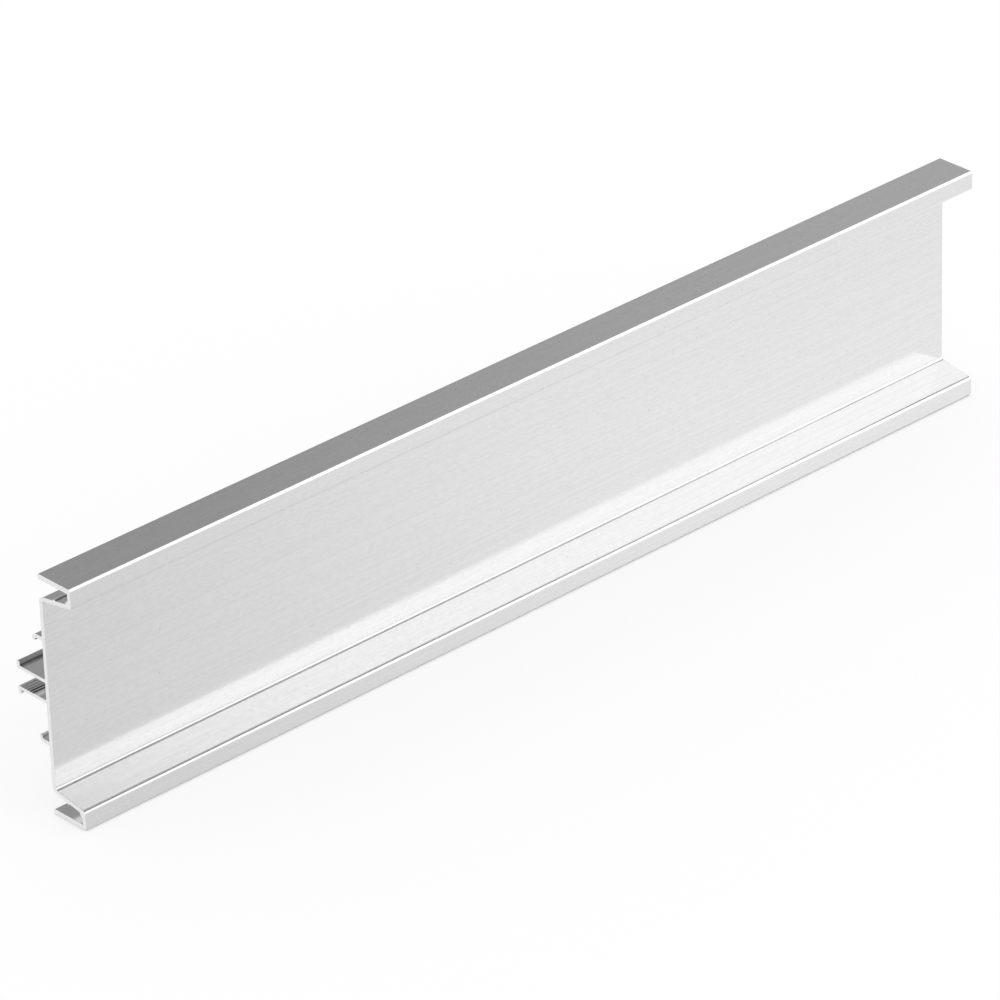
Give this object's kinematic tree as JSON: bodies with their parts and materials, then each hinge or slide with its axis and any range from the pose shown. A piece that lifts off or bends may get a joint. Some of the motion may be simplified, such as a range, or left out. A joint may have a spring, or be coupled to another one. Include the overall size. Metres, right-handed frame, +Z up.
{
  "type": "recessed grip channel profile",
  "caption": "C-shaped aluminium extrusion for handleless furniture fronts, with flared finger recess, hollow lips and a rear clip rail with screw slot.",
  "frame": {"origin": "centre of the bounding box's base, on the underside of the lower lip's plate", "axes": "+X along the length, the end nearest the camera in the picture at -X; -Y the open grip side; +Y the rear rail; +Z up"},
  "size_m": [0.344, 0.025, 0.074],
  "materials": {
    "satin_aluminium": "satin anodised, drawn lines along the length, sawn ends"
  },
  "bodies": {
    "root": {"channel_profile": "satin_aluminium"}
  },
  "joints": []
}
